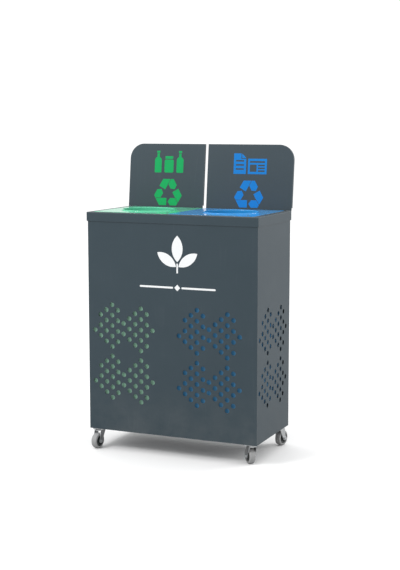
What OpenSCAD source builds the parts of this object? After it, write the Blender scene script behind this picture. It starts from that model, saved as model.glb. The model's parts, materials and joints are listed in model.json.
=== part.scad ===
// Recycling bin station: a sheet-steel cabinet with two compartments, a hinged cap and four casters.
// The origin lies on the floor, below the middle of the cabinet.
// +X is to the right, -Y is the front and +Z is up. Sizes are in millimetres.

/* [Cabinet] */
// Outer width of the cabinet
cabinet_w = 694; // [660:1:1000]
// Outer depth of the cabinet
cabinet_d = 350; // [340:1:600]
// Height of the cabinet walls
cabinet_h = 840; // [640:1:1100]
// Thickness of the steel sheet
sheet_t = 1.5; // [1:0.1:2.5]
// Height of the hem folded inside each top edge
hem_h = 15; // [8:1:30]
// Place of the split between the compartments, from the middle plane
split_x = -12.5; // [-20:0.5:20]
// Leg width of the angles in the vertical corners
corner_leg = 12; // [8:1:40]
// Height of the turned-up sides of the base pan
pan_h = 25; // [15:1:40]
// Distance from the cabinet's top edge down to the divider's top
divider_drop = 22; // [16:1:80]

/* [Perforation] */
// Diameter of one hole
hole_d = 18.5; // [8:0.5:22]
// Sideways step between neighbouring columns of holes
hole_step_x = 24.4; // [22:0.1:27]
// The same sideways step on the side walls
side_step_x = 28.2; // [22:0.1:29]
// Upward step between neighbouring rows of holes
hole_step_z = 20.2; // [17:0.1:22]
// Drop of each cluster's second lobe below its first
lobe_drop = 8.5; // [0:0.5:12]
// Middle height of the upper cluster, above the cabinet's bottom edge
upper_cluster_z = 410; // [300:1:480]
// Middle height of the lower cluster, above the cabinet's bottom edge
lower_cluster_z = 211; // [150:1:230]
// Sideways shift of the green front clusters from their compartment's middle
green_cluster_shift = -18.2; // [-25:0.1:10]
// Sideways shift of the blue front clusters from their compartment's middle
blue_cluster_shift = -10.7; // [-30:0.1:15]
// Shift of the side clusters from the middle of the side wall
side_cluster_shift = -7.2; // [-20:0.1:20]

/* [Cap] */
// How far the cap stands out past the cabinet on each side
cap_overhang = 3; // [2.5:0.1:8]
// Height of the front and side rims
rim_h = 35; // [26:1:60]
// Height of the rear rim, which carries the hinges and the sign tabs
rear_rim_h = 20; // [18:1:25]
// Outer radius of the bends along the cap's edges
bend_r = 2.5; // [2:0.1:5]
// Width of the open seam at each corner of the rims
seam_w = 1; // [0.5:0.1:2]
// Thickness of the rubber strips that the cap rests on
cushion_t = 1.5; // [1:0.1:4]

/* [Inlays and waste openings] */
// Thickness of the coloured inlay sheets
inlay_t = 1.2; // [0.8:0.1:2]
// Grey border left at the two ends of the cap
inlay_end_border = 26; // [10:1:50]
// Grey border left along the front of the cap
inlay_front_border = 13; // [8:1:40]
// Grey border left along the rear of the cap
inlay_rear_border = 9; // [8:1:40]
// Gap between the two inlays
inlay_gap = 2; // [0.5:0.1:6]
// Width of the cap's ledge under each inlay's edges
inlay_ledge = 14; // [8:1:30]
// Radius of each waste opening
opening_r = 100; // [60:1:120]
// Distance of each waste opening from the middle plane
opening_x = 172; // [150:1:190]
// Wall of the collar around each waste opening
collar_wall = 1.5; // [1:0.1:3]
// Height of the collar, from the inlay's top down
collar_h = 42; // [25:1:60]
// Radius of the rolled bead around the opening
bead_r = 3; // [2:0.1:6]
// Radial clearance between a collar and the hole in its inlay
collar_clearance = 0.3; // [0.2:0.1:1]

/* [Signs] */
// Length of a sign plate, along its slope
sign_len = 253.5; // [180:0.5:400]
// Backward lean of the signs, in degrees
sign_lean = 6; // [0:0.5:12]
// Radius of the outer top corner of each sign
sign_corner_r = 60; // [20:1:100]
// Gap between the two signs
sign_gap = 14.5; // [4:0.1:30]
// Sideways place of the middle of that gap
sign_split_x = -15.2; // [-60:0.1:60]
// Depth of the folded edge behind each sign
sign_return = 10; // [5:1:20]
// Width of each tab that holds a sign
sign_tab_w = 50; // [35:1:80]
// Distance from a sign's side edge to its tab
sign_tab_inset = 20; // [10:1:40]

/* [Liners] */
// Air gap between a liner and the cabinet walls
liner_gap = 9; // [8:1:20]
// Thickness of the liner sheet
liner_t = 1; // [0.8:0.1:2]
// Outer radius of the liner's upright edges
liner_r = 6; // [4:0.5:15]
// Outward reach of the liner's rolled rim
liner_rim = 5; // [3:0.5:7]
// Height of the rim's turned-down lip
liner_lip = 9; // [5:1:15]
// Distance from the collar's lower end down to the liner's rim
liner_drop = 14; // [5:1:40]
// Length of a hand hole, from end to end
hand_hole_l = 110; // [90:1:150]
// Height of a hand hole
hand_hole_h = 32; // [25:1:40]
// Distance from the liner's rim down to the hand hole's middle
hand_hole_drop = 50; // [35:1:90]
// Width of a support rail
rail_w = 20; // [12:1:30]
// Height of a support rail
rail_h = 14; // [12:1:25]
// Distance of the rails from the liner's middle
rail_offset = 85; // [40:1:95]

/* [Hinges] */
// Width of each hinge
hinge_w = 70; // [50:1:100]
// Thickness of the hinge leaves
leaf_t = 1.5; // [1:0.1:2.5]
// Outer radius of the hinge knuckles
knuckle_r = 4; // [3.5:0.1:6]
// Radius of the hinge pins
hinge_pin_r = 2; // [1.5:0.1:2.5]
// Height of the fixed leaf below the pin
fixed_leaf_h = 30; // [22:1:50]
// Radial running clearance of pins and axles
running_fit = 0.06; // [0.02:0.01:0.1]

/* [Casters] */
// Height of a caster, from the floor to its plate's top
caster_h = 80; // [76:1:100]
// Diameter of the wheel
wheel_d = 60; // [50:1:66]
// Width of the tyre
tyre_w = 23; // [18:1:30]
// Side of the square caster plate
plate_w = 46; // [44:1:60]
// Thickness of the caster plate
plate_t = 2.5; // [2:0.1:4]
// Distance from the cabinet's edges to the caster plate
plate_inset = 6; // [4:1:20]
// Distance between the bolt holes in a caster plate
bolt_spacing = 34; // [32:1:46]
// Offset of the wheel's axle behind the swivel pin
trail = 18; // [12:1:24]
// Radius of the swivel pin
swivel_pin_r = 4; // [3:0.1:5]
// Radius of the wheel axle
axle_r = 4; // [3:0.1:5]
// Thickness of the fork's steel
fork_t = 2.4; // [2:0.1:3.5]

/* [Graphics] */
// Thickness of the printed film
film_t = 0.3; // [0.2:0.05:0.6]
// Sideways place of the green loop's middle
green_loop_x = -176.5; // [-190:0.5:-160]
// Sideways place of the blue loop's middle
blue_loop_x = 171; // [160:0.5:190]
// Height of the loops' middle along the sign
loop_rise = 55.5; // [53:0.5:70]
// Height of the pictograms' lower edge along the sign
pictogram_rise = 138; // [125:1:160]
// Sideways place of the front emblem's middle
emblem_x = 28; // [-60:1:60]
// Height of the front emblem's foot above the cabinet's bottom edge
emblem_z = 625; // [600:1:660]
// Height of the bar under the emblem above the cabinet's bottom edge
bar_z = 570; // [520:1:590]

/* [Hidden] */
CASTERS = ["front_left", "front_right", "rear_left", "rear_right"];
CASTER_SIDES = [[-1, -1], [1, -1], [-1, 1], [1, 1]];
// Turn of each caster's fork about its swivel pin; at 0 the wheel trails towards -Y
CASTER_TURNS = [-6, -137, 158, 167];

$fn = 64;

// Colours
body_grey = "#495459";
film_green = "#22b36e";
film_blue = "#1f8fe0";
zinc = "#c9cdd0";

// Overhang of cutting tools past the surface that they cut
cut = 1;

// Overall sizes and main planes
cap_w = cabinet_w + 2 * cap_overhang;
cap_d = cabinet_d + 2 * cap_overhang;
cap_front = -cap_d / 2;
cap_back = cap_d / 2;
body_front = -cabinet_d / 2;
body_back = cabinet_d / 2;
base_z = caster_h;
body_top = base_z + cabinet_h;
deck_under = body_top + cushion_t;
deck_top = deck_under + sheet_t;
inlay_top = deck_top + inlay_t;
inlay_front = cap_front + inlay_front_border;
inlay_back = cap_back - inlay_rear_border;
green_inlay_x = [-cap_w / 2 + inlay_end_border, split_x - inlay_gap / 2];
blue_inlay_x = [split_x + inlay_gap / 2, cap_w / 2 - inlay_end_border];
inner_w = cabinet_w - 2 * sheet_t;
inner_d = cabinet_d - 2 * sheet_t;
floor_z = base_z + sheet_t;

// Compartments and liners
left_inner_x = -inner_w / 2;
right_inner_x = inner_w / 2;
left_mid_x = (left_inner_x + split_x - sheet_t / 2) / 2;
right_mid_x = (right_inner_x + split_x + sheet_t / 2) / 2;
compartment_w = inner_w / 2 - abs(split_x) - sheet_t / 2;
liner_w = compartment_w - 2 * liner_gap;
liner_d = inner_d - 2 * liner_gap;
liner_z = floor_z + rail_h;
liner_top = inlay_top - collar_h - liner_drop;

// Signs
left_sign_x = -cap_w / 2;
left_sign_w = sign_split_x - sign_gap / 2 - left_sign_x;
right_sign_x = sign_split_x + sign_gap / 2;
right_sign_w = cap_w / 2 - right_sign_x;
sign_tab_h = rear_rim_h - 2;
rivet_r = 2;
rivet_head_r = 4;
rivet_head_h = 1.8;
rivet_tail_r = 3;
rivet_tail_h = 0.9;
rivet_clearance = 0.1;
tab_rivet_inset = 10;

// Hinges
hinge_xs = [left_sign_x + left_sign_w / 2, right_sign_x + right_sign_w / 2];
pin_y = cap_back + knuckle_r;
pin_z = deck_top - rear_rim_h - knuckle_r - 0.5;
knuckle_gap = 0.3;
middle_knuckle_w = hinge_w / 2.5;
moving_leaf_h = deck_top - bend_r - 1 - pin_z;
leaf_relief = 0.5;
pin_head_t = 1.5;
pin_head_r = 3;
screw_r = 2.5;
screw_inset = 14;
screw_drop = fixed_leaf_h - 9;
screw_head_r = 4.8;
screw_head_h = 2.8;
screw_nut_r = 4.6;
screw_nut_h = 4;

// Casters
caster_x = cabinet_w / 2 - plate_inset - plate_w / 2;
caster_y = cabinet_d / 2 - plate_inset - plate_w / 2;
axle_z = wheel_d / 2;
plate_corner_r = 4;
caster_bolt_r = 3;
caster_bolt_gap = 0.3;
caster_bolt_head_h = 3.8;
caster_bolt_head_r = 5.5;
caster_nut_h = 5;
backing_w = plate_w + 14;
backing_t = 3;
race_r = 18;
race_t = 2.2;
ring_t = 3;
ring_inner_r = 11;
ring_gap = 0.3;
crown_r = 19;
crown_top = caster_h - plate_t - race_t - ring_t - 2 * ring_gap;
crown_under = crown_top - fork_t;
leg_gap = 1.9;
leg_inner = tyre_w / 2 + leg_gap;
leg_eye_r = 9;
hub_r = wheel_d / 2 - 8;
hub_w = tyre_w - 3;
hub_boss_r = 8;
hub_web_t = 8;
hub_rim_t = 4;
tyre_edge_r = 5;
axle_nut_r = 7.2;
axle_nut_h = 5;

// One column of a cluster of holes: its lowest row and the number of holes, two rows apart
FIRST_LOBE = [[-1, 1], [-2, 3], [-3, 4], [-4, 5], [-3, 4]];
SECOND_LOBE = [[-1, 2], [-2, 3], [-3, 4], [-4, 5], [-3, 4], [0, 1]];

// ---------- shared shapes ----------

// A box from its low corner to its high corner
module block(low, high) {
    translate(low) cube(high - low);
}

// A flat rounded rectangle, centred
module rounded_rect(w, d, r) {
    square([w - 2 * r, d], center = true);
    square([w, d - 2 * r], center = true);
    for (x = [-1, 1], y = [-1, 1])
        translate([x * (w / 2 - r), y * (d / 2 - r)]) circle(r);
}

// A slot with round ends along X, centred
module slot_outline(l, h) {
    square([l - h, h], center = true);
    for (x = [-1, 1])
        translate([x * (l - h) / 2, 0]) circle(h / 2);
}

// A cylinder along X, from x0 to x1
module rod_x(r, x0, x1) {
    translate([x0, 0, 0]) rotate([0, 90, 0]) cylinder(r = r, h = x1 - x0);
}

// A cylinder along Y, from y0 to y1
module rod_y(r, y0, y1) {
    translate([0, y0, 0]) rotate([-90, 0, 0]) cylinder(r = r, h = y1 - y0);
}

// One lobe of a cluster as drills along Y; first is its first column, counted from the cluster's middle
module lobe_drills(lobe, first, step, length) {
    for (u = [0 : len(lobe) - 1])
        for (k = [0 : lobe[u][1] - 1])
            translate([(first + u) * step, 0, (lobe[u][0] + 2 * k) * hole_step_z])
                rod_y(hole_d / 2, -length / 2, length / 2);
}

// The holes of one cluster, centred sideways on its middle column
module cluster_drills(step, length) {
    middle = (len(FIRST_LOBE) + len(SECOND_LOBE) - 1) / 2;
    lobe_drills(FIRST_LOBE, -middle, step, length);
    translate([0, 0, -lobe_drop]) lobe_drills(SECOND_LOBE, len(FIRST_LOBE) - middle, step, length);
}

// Both clusters of one column pair, one above the other
module cluster_pair_drills(step) {
    for (z = [lower_cluster_z, upper_cluster_z])
        translate([0, 0, base_z + z]) cluster_drills(step, 2 * sheet_t + 2 * cut);
}

// A domed rivet along Y: the outer head faces +Y at y = 0 and the shank reaches back by grip
module rivet(grip) {
    rod_y(rivet_r, -grip, rivet_head_h / 2);
    intersection() {
        translate([0, rivet_head_h - rivet_head_r * 1.6, 0]) sphere(r = rivet_head_r * 1.6);
        rod_y(rivet_head_r, 0, rivet_head_h);
    }
    rod_y(rivet_tail_r, -grip - rivet_tail_h, -grip);
}

// ---------- cabinet ----------

// The plan of a front or back sheet with its two upright edges rounded on the outside
module wrapped_plan() {
    translate([-cabinet_w / 2 + sheet_t, 0]) square([cabinet_w - 2 * sheet_t, sheet_t]);
    for (side = [-1, 1])
        intersection() {
            translate([side * (cabinet_w / 2 - sheet_t), sheet_t]) circle(sheet_t);
            translate([-cabinet_w / 2, 0]) square([cabinet_w, sheet_t]);
        }
}

// A front or back sheet with the hem along its top edge; y = 0 is its outer face
module wrapped_panel() {
    translate([0, 0, base_z]) linear_extrude(cabinet_h) wrapped_plan();
    block([left_inner_x + sheet_t, sheet_t, body_top - hem_h], [right_inner_x - sheet_t, 2 * sheet_t, body_top]);
}

module front_panel() {
    color(body_grey)
    difference() {
        translate([0, body_front, 0]) wrapped_panel();
        translate([left_mid_x + green_cluster_shift, body_front, 0]) cluster_pair_drills(hole_step_x);
        translate([right_mid_x + blue_cluster_shift, body_front, 0]) cluster_pair_drills(hole_step_x);
    }
}

module back_panel() {
    color(body_grey)
    difference() {
        translate([0, body_back, 0]) mirror([0, 1, 0]) wrapped_panel();
        hinge_screw_holes(body_back - 2 * sheet_t - cut, body_back + cut);
    }
}

// A side sheet with its hem; side is -1 for the left and 1 for the right
module side_panel(side) {
    outer = side * cabinet_w / 2;
    inner = side * inner_w / 2;
    hem = side * (inner_w / 2 - sheet_t);
    difference() {
        union() {
            block([min(outer, inner), body_front + sheet_t, base_z],
                  [max(outer, inner), body_back - sheet_t, body_top]);
            block([min(inner, hem), body_front + sheet_t, body_top - hem_h],
                  [max(inner, hem), body_back - sheet_t, body_top]);
        }
        translate([outer, side_cluster_shift, 0]) rotate([0, 0, 90]) cluster_pair_drills(side_step_x);
    }
}

module left_panel() {
    color(body_grey) side_panel(-1);
}

module right_panel() {
    color(body_grey) side_panel(1);
}

module base_pan() {
    color(body_grey)
    difference() {
        translate([-inner_w / 2, body_front + sheet_t, base_z]) cube([inner_w, inner_d, pan_h]);
        translate([-inner_w / 2 + sheet_t, body_front + 2 * sheet_t, floor_z])
            cube([inner_w - 2 * sheet_t, inner_d - 2 * sheet_t, pan_h]);
        at_casters() caster_bolt_holes(base_z - cut, floor_z + cut);
    }
}

// An angle in each upright corner, from the pan's sides up to the hems
module corner_angles() {
    color(body_grey)
    for (sx = [-1, 1], sy = [-1, 1])
        translate([sx * inner_w / 2, sy * inner_d / 2, base_z + pan_h])
            mirror([sx > 0 ? 1 : 0, 0, 0])
                mirror([0, sy > 0 ? 1 : 0, 0])
                    linear_extrude(cabinet_h - pan_h - hem_h)
                        difference() {
                            square(corner_leg);
                            translate([sheet_t, sheet_t]) square(corner_leg);
                        }
}

// The sheet between the compartments; its foot is narrower, to pass between the pan's sides
module divider() {
    color(body_grey)
    translate([split_x - sheet_t / 2, 0, 0]) {
        block([0, -inner_d / 2, base_z + pan_h], [sheet_t, inner_d / 2, body_top - divider_drop]);
        block([0, -inner_d / 2 + sheet_t, floor_z], [sheet_t, inner_d / 2 - sheet_t, base_z + pan_h]);
    }
}

// Two inverted channels under each liner
module support_rails() {
    rail_l = inner_d - 2 * sheet_t;
    color(zinc)
    for (mid = [left_mid_x, right_mid_x], side = [-1, 1])
        translate([mid + side * rail_offset - rail_w / 2, -rail_l / 2, floor_z])
            difference() {
                cube([rail_w, rail_l, rail_h]);
                translate([sheet_t, -cut, -sheet_t]) cube([rail_w - 2 * sheet_t, rail_l + 2 * cut, rail_h]);
            }
}

// Rubber strips on the four top edges
module edge_cushions() {
    strip_w = 2 * sheet_t;
    color("#202224") {
        for (side = [-1, 1]) {
            y = side < 0 ? body_front : body_back - strip_w;
            block([-inner_w / 2 + sheet_t, y, body_top], [inner_w / 2 - sheet_t, y + strip_w, deck_under]);
            x = side < 0 ? -cabinet_w / 2 : cabinet_w / 2 - strip_w;
            block([x, body_front + strip_w, body_top], [x + strip_w, body_back - strip_w, deck_under]);
        }
    }
}

// ---------- liners ----------

// An open box with a rolled rim and two hand holes, its middle at x = mid
module liner(mid) {
    height = liner_top - liner_z;
    rim_w = liner_w + 2 * liner_rim;
    rim_d = liner_d + 2 * liner_rim;
    translate([mid, 0, liner_z])
    difference() {
        union() {
            linear_extrude(height) rounded_rect(liner_w, liner_d, liner_r);
            translate([0, 0, height - liner_lip]) linear_extrude(liner_lip)
                rounded_rect(rim_w, rim_d, liner_r + liner_rim);
        }
        translate([0, 0, liner_t]) linear_extrude(height)
            rounded_rect(liner_w - 2 * liner_t, liner_d - 2 * liner_t, liner_r - liner_t);
        translate([0, 0, height - liner_lip - cut]) linear_extrude(liner_lip + cut - liner_t)
            difference() {
                rounded_rect(rim_w - 2 * liner_t, rim_d - 2 * liner_t, liner_r + liner_rim - liner_t);
                rounded_rect(liner_w, liner_d, liner_r);
            }
        translate([-liner_w / 2 - cut, 0, height - hand_hole_drop])
            rotate([90, 0, 90]) linear_extrude(liner_w + 2 * cut) slot_outline(hand_hole_l, hand_hole_h);
    }
}

module green_liner() {
    color(film_green) liner(left_mid_x);
}

module blue_liner() {
    color(film_blue) liner(right_mid_x);
}

// ---------- cap ----------

// A block with rounded long top edges: inset is taken off every side and off the top
module cap_block(inset, bottom) {
    r = bend_r - inset;
    w = cap_w - 2 * inset;
    d = cap_d - 2 * inset;
    h = deck_top - inset - bottom;
    translate([0, 0, bottom])
    intersection() {
        translate([0, d / 2, 0]) rotate([90, 0, 0]) linear_extrude(d) {
            translate([-w / 2, 0]) square([w, h - r]);
            translate([-w / 2 + r, 0]) square([w - 2 * r, h]);
            for (x = [-1, 1]) translate([x * (w / 2 - r), h - r]) circle(r);
        }
        translate([-w / 2, 0, 0]) rotate([90, 0, 90]) linear_extrude(w) {
            translate([-d / 2, 0]) square([d, h - r]);
            translate([-d / 2 + r, 0]) square([d - 2 * r, h]);
            for (y = [-1, 1]) translate([y * (d / 2 - r), h - r]) circle(r);
        }
    }
}

// The open seam between two rims at a corner, cut beside the front or rear rim
module corner_seams() {
    seam_top = deck_top - bend_r;
    for (x = [-1, 1]) {
        x0 = x < 0 ? -cap_w / 2 - cut : cap_w / 2 - sheet_t - cut;
        for (y = [cap_front + sheet_t, cap_back - sheet_t - seam_w])
            block([x0, y, deck_top - rim_h - cut], [x0 + sheet_t + 2 * cut, y + seam_w, seam_top]);
    }
}

// The small square notches that round off the rims' lower corners
module rim_corner_cuts() {
    r = 3;
    z = deck_top - rim_h;
    for (x = [-1, 1])
        translate([x * (cap_w / 2 - r), 0, z + r])
            difference() {
                block([x < 0 ? -r - cut : 0, cap_front - cut, -r - cut],
                      [x < 0 ? 0 : r + cut, cap_front + sheet_t + cut / 2, 0]);
                translate([0, cap_front - 2 * cut, 0]) rod_y(r, 0, sheet_t + 4 * cut);
            }
}

// The folded cap sheet, with its windows, seams and rivet holes
module cap_sheet() {
    rim_bottom = deck_top - rim_h;
    difference() {
        cap_block(0, rim_bottom);
        cap_block(sheet_t, rim_bottom - cut);
        block([-cap_w / 2 + sheet_t, cap_back - sheet_t - cut, rim_bottom - cut],
              [cap_w / 2 - sheet_t, cap_back + cut, deck_top - rear_rim_h]);
        corner_seams();
        rim_corner_cuts();
        for (x = [green_inlay_x, blue_inlay_x])
            block([x[0] + inlay_ledge, inlay_front + inlay_ledge, deck_under - cut],
                  [x[1] - inlay_ledge, inlay_back - inlay_ledge, deck_top + cut]);
        tab_rivet_holes(cap_back - sheet_t - cut, cap_back + cut);
        hinge_rivet_holes(cap_back - sheet_t - cut, cap_back + cut);
    }
}

// The part of the cap sheet between two heights
module cap_between(z0, z1) {
    intersection() {
        cap_sheet();
        block([-cap_w / 2 - cut, cap_front - cut, z0], [cap_w / 2 + cut, cap_back + cut, z1]);
    }
}

// The deck, down to where its bends become upright
module cap() {
    color(body_grey) cap_between(deck_top - bend_r, deck_top + cut);
}

// The four upright rims below the bends
module cap_rims() {
    color(body_grey) cap_between(deck_top - rim_h - cut, deck_top - bend_r);
}

// A coloured sheet with a round hole at x = mouth
module inlay(x0, x1, mouth) {
    difference() {
        block([x0, inlay_front, deck_top], [x1, inlay_back, inlay_top]);
        translate([mouth, 0, deck_top - cut])
            cylinder(r = opening_r + collar_wall + collar_clearance, h = inlay_t + 2 * cut, $fn = 128);
    }
}

// The collar of a waste opening: a ring with a rolled bead that rests on the inlay
module collar(mouth) {
    translate([mouth, 0, 0]) rotate_extrude($fn = 128) {
        translate([opening_r, inlay_top - collar_h]) square([collar_wall, collar_h]);
        intersection() {
            translate([opening_r + bead_r, inlay_top]) circle(bead_r);
            translate([opening_r, inlay_top]) square(2 * bead_r);
        }
    }
}

module green_inlay() {
    color(film_green) inlay(green_inlay_x[0], green_inlay_x[1], -opening_x);
}

module blue_inlay() {
    color(film_blue) inlay(blue_inlay_x[0], blue_inlay_x[1], opening_x);
}

module green_collar() {
    color(film_green) collar(-opening_x);
}

module blue_collar() {
    color(film_blue) collar(opening_x);
}

// ---------- signs ----------

// Puts a flat drawing in X and Y onto the leaning front plane of the signs
module on_sign() {
    translate([0, cap_back, deck_top]) rotate([90 - sign_lean, 0, 0]) children();
}

// The outline of a sign from x = 0 to w, with one rounded top corner, drawn with an inset
module sign_outline(w, inset, round_left) {
    r = sign_corner_r - inset;
    x0 = inset;
    x1 = w - inset;
    top = sign_len - inset;
    square_x = round_left ? sign_corner_r : x0;
    translate([x0, 0]) square([x1 - x0, sign_len - sign_corner_r]);
    translate([square_x, 0]) square([w - sign_corner_r - inset, top]);
    translate([round_left ? sign_corner_r : w - sign_corner_r, sign_len - sign_corner_r]) circle(r);
}

// The x places of a sign's two tabs, at their middles
function tab_xs(x0, w) = [x0 + sign_tab_inset + sign_tab_w / 2, x0 + w - sign_tab_inset - sign_tab_w / 2];

// A plate with folded edges behind it and two tabs against the rear rim
module sign(x0, w, round_left) {
    difference() {
        union() {
            on_sign() translate([x0, 0, -sheet_t]) linear_extrude(sheet_t) sign_outline(w, 0, round_left);
            on_sign() translate([x0, 0, -sheet_t - sign_return]) linear_extrude(sign_return + sheet_t / 2)
                difference() {
                    sign_outline(w, 0, round_left);
                    sign_outline(w, sheet_t, round_left);
                    translate([-cut, -cut]) square([w + 2 * cut, cut + sign_return]);
                }
            for (x = tab_xs(x0, w))
                block([x - sign_tab_w / 2, cap_back, deck_top - sign_tab_h],
                      [x + sign_tab_w / 2, cap_back + sheet_t, deck_top]);
        }
        tab_rivet_holes(cap_back - cut, cap_back + sheet_t + cut);
    }
}

module left_sign() {
    color(body_grey) sign(left_sign_x, left_sign_w, true);
}

module right_sign() {
    color(body_grey) sign(right_sign_x, right_sign_w, false);
}

// Calls its children at every rivet of the sign tabs, at y = 0
module at_tab_rivets() {
    mids = concat(tab_xs(left_sign_x, left_sign_w), tab_xs(right_sign_x, right_sign_w));
    for (x = mids, side = [-1, 1])
        translate([x + side * (sign_tab_w / 2 - tab_rivet_inset), 0, deck_top - sign_tab_h / 2 - bend_r / 2])
            children();
}

module tab_rivet_holes(y0, y1) {
    at_tab_rivets() rod_y(rivet_r + rivet_clearance, y0, y1);
}

module sign_rivets() {
    color(zinc) at_tab_rivets() translate([0, cap_back + sheet_t, 0]) rivet(2 * sheet_t);
}

// ---------- hinges ----------

// One hinge knuckle with its bore, from x0 to x1 on the pin's axis
module knuckle(x0, x1) {
    rod_x(knuckle_r, x0, x1);
}

// A leaf: a plate from z0 to z1 with knuckles at the given X stretches
module leaf(z0, z1, stretches, cleared) {
    difference() {
        union() {
            block([-hinge_w / 2, -knuckle_r, z0], [hinge_w / 2, -knuckle_r + leaf_t, z1]);
            for (s = stretches) knuckle(s[0], s[1]);
        }
        for (s = cleared)
            rod_x(knuckle_r + leaf_relief, s[0], s[1]);
        rod_x(hinge_pin_r + running_fit, -hinge_w, hinge_w);
    }
}

middle_knuckle = [[-middle_knuckle_w / 2, middle_knuckle_w / 2]];
outer_knuckles = [[-hinge_w / 2, -middle_knuckle_w / 2 - knuckle_gap],
                  [middle_knuckle_w / 2 + knuckle_gap, hinge_w / 2]];
middle_clear = [[-middle_knuckle_w / 2 - knuckle_gap, middle_knuckle_w / 2 + knuckle_gap]];
outer_clear = [[-hinge_w / 2 - cut, -middle_knuckle_w / 2], [middle_knuckle_w / 2, hinge_w / 2 + cut]];

// Calls its children at each hinge, with the pin's axis along X through the origin
module at_hinges() {
    for (x = hinge_xs) translate([x, pin_y, pin_z]) children();
}

module fixed_hinge_leaves() {
    color(zinc)
    difference() {
        at_hinges() leaf(-fixed_leaf_h, 0, outer_knuckles, middle_clear);
        hinge_screw_holes(cap_back - cut, cap_back + leaf_t + cut);
    }
}

module moving_hinge_leaves() {
    color(zinc)
    difference() {
        at_hinges() leaf(0, moving_leaf_h, middle_knuckle, outer_clear);
        hinge_rivet_holes(cap_back - cut, cap_back + leaf_t + cut);
    }
}

module hinge_pins() {
    color(zinc)
    at_hinges() {
        rod_x(hinge_pin_r, -hinge_w / 2, hinge_w / 2);
        for (side = [-1, 1]) {
            x0 = side < 0 ? -hinge_w / 2 - pin_head_t : hinge_w / 2;
            rod_x(pin_head_r, x0, x0 + pin_head_t);
        }
    }
}

// Packing strips that bring the fixed leaves out to the plane of the cap's rear rim
module hinge_packers() {
    color(body_grey)
    difference() {
        at_hinges()
            block([-hinge_w / 2, body_back - pin_y, -fixed_leaf_h], [hinge_w / 2, cap_back - pin_y, -knuckle_r]);
        hinge_screw_holes(body_back - cut, cap_back + cut);
    }
}

// Calls its children at each hinge screw, at y = 0
module at_hinge_screws() {
    for (x = hinge_xs, side = [-1, 1])
        translate([x + side * (hinge_w / 2 - screw_inset), 0, pin_z - screw_drop]) children();
}

module hinge_screw_holes(y0, y1) {
    at_hinge_screws() rod_y(screw_r + rivet_clearance, y0, y1);
}

// Button-headed screws through leaf, packer and back panel, with a nut inside each
module hinge_screws() {
    inside = body_back - sheet_t;
    color(zinc)
    at_hinge_screws() {
        difference() {
            union() {
                rod_y(screw_r, inside - screw_nut_h - 1, cap_back + leaf_t + screw_head_h / 2);
                intersection() {
                    translate([0, cap_back + leaf_t + screw_head_h - 6, 0]) sphere(r = 6);
                    rod_y(screw_head_r, cap_back + leaf_t, cap_back + leaf_t + screw_head_h);
                }
            }
            translate([0, cap_back + leaf_t + 1.2, 0]) rotate([-90, 0, 0]) cylinder(r = 1.7, h = 3, $fn = 6);
        }
        translate([0, inside - screw_nut_h, 0])
            rotate([-90, 0, 0]) difference() {
                cylinder(r = screw_nut_r, h = screw_nut_h, $fn = 6);
                translate([0, 0, -cut]) cylinder(r = screw_r + rivet_clearance, h = screw_nut_h + 2 * cut);
            }
    }
}

// Calls its children at each rivet of the moving leaves, at y = 0
module at_hinge_rivets() {
    for (x = hinge_xs, side = [-1, 0, 1])
        translate([x + side * (hinge_w / 2 - tab_rivet_inset), 0, deck_top - sign_tab_h / 2 - bend_r / 2])
            children();
}

module hinge_rivet_holes(y0, y1) {
    at_hinge_rivets() rod_y(rivet_r + rivet_clearance, y0, y1);
}

module hinge_rivets() {
    color(zinc) at_hinge_rivets() translate([0, cap_back + leaf_t, 0]) rivet(sheet_t + leaf_t);
}

// ---------- casters ----------

// Calls its children at the swivel axis of every caster
module at_casters() {
    for (i = [0 : len(CASTERS) - 1]) at_caster(i) children();
}

// Calls its children at the swivel axis of caster i
module at_caster(i) {
    translate([CASTER_SIDES[i][0] * caster_x, CASTER_SIDES[i][1] * caster_y, 0]) children();
}

// Calls its children at the four bolts of one caster
module at_bolts() {
    for (x = [-1, 1], y = [-1, 1]) translate([x * bolt_spacing / 2, y * bolt_spacing / 2, 0]) children();
}

module caster_bolt_holes(z0, z1) {
    at_bolts() translate([0, 0, z0]) cylinder(r = caster_bolt_r + caster_bolt_gap, h = z1 - z0);
}

module backing_plates() {
    color(zinc)
    at_casters() difference() {
        translate([0, 0, floor_z]) linear_extrude(backing_t)
            intersection() {
                square(backing_w, center = true);
                square(2 * (plate_w / 2 + plate_inset - 2 * sheet_t), center = true);
            }
        caster_bolt_holes(floor_z - cut, floor_z + backing_t + cut);
    }
}

module caster_bolts() {
    color(zinc)
    at_casters() at_bolts() {
        translate([0, 0, caster_h - plate_t - caster_bolt_head_h])
            cylinder(r = caster_bolt_head_r, h = caster_bolt_head_h, $fn = 6);
        translate([0, 0, caster_h - plate_t - caster_bolt_head_h / 2])
            cylinder(r = caster_bolt_r, h = plate_t + sheet_t + backing_t + caster_nut_h + caster_bolt_head_h / 2 + 1);
    }
}

module caster_nuts() {
    z0 = floor_z + backing_t;
    color(zinc)
    at_casters() at_bolts() translate([0, 0, z0]) difference() {
        cylinder(r = caster_bolt_head_r, h = caster_nut_h, $fn = 6);
        translate([0, 0, -cut]) cylinder(r = caster_bolt_r + caster_bolt_gap / 3, h = caster_nut_h + 2 * cut);
    }
}

// The fixed plate with the upper race pressed below it
module caster_plate(i) {
    color(zinc)
    at_caster(i) difference() {
        union() {
            translate([0, 0, caster_h - plate_t]) linear_extrude(plate_t)
                rounded_rect(plate_w, plate_w, plate_corner_r);
            translate([0, 0, caster_h - plate_t - race_t]) cylinder(r = race_r, h = race_t + plate_t / 2);
        }
        caster_bolt_holes(caster_h - plate_t - cut, caster_h + cut);
        translate([0, 0, caster_h - plate_t - race_t - cut])
            cylinder(r = swivel_pin_r + rivet_clearance, h = plate_t + race_t + 2 * cut);
    }
}

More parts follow.
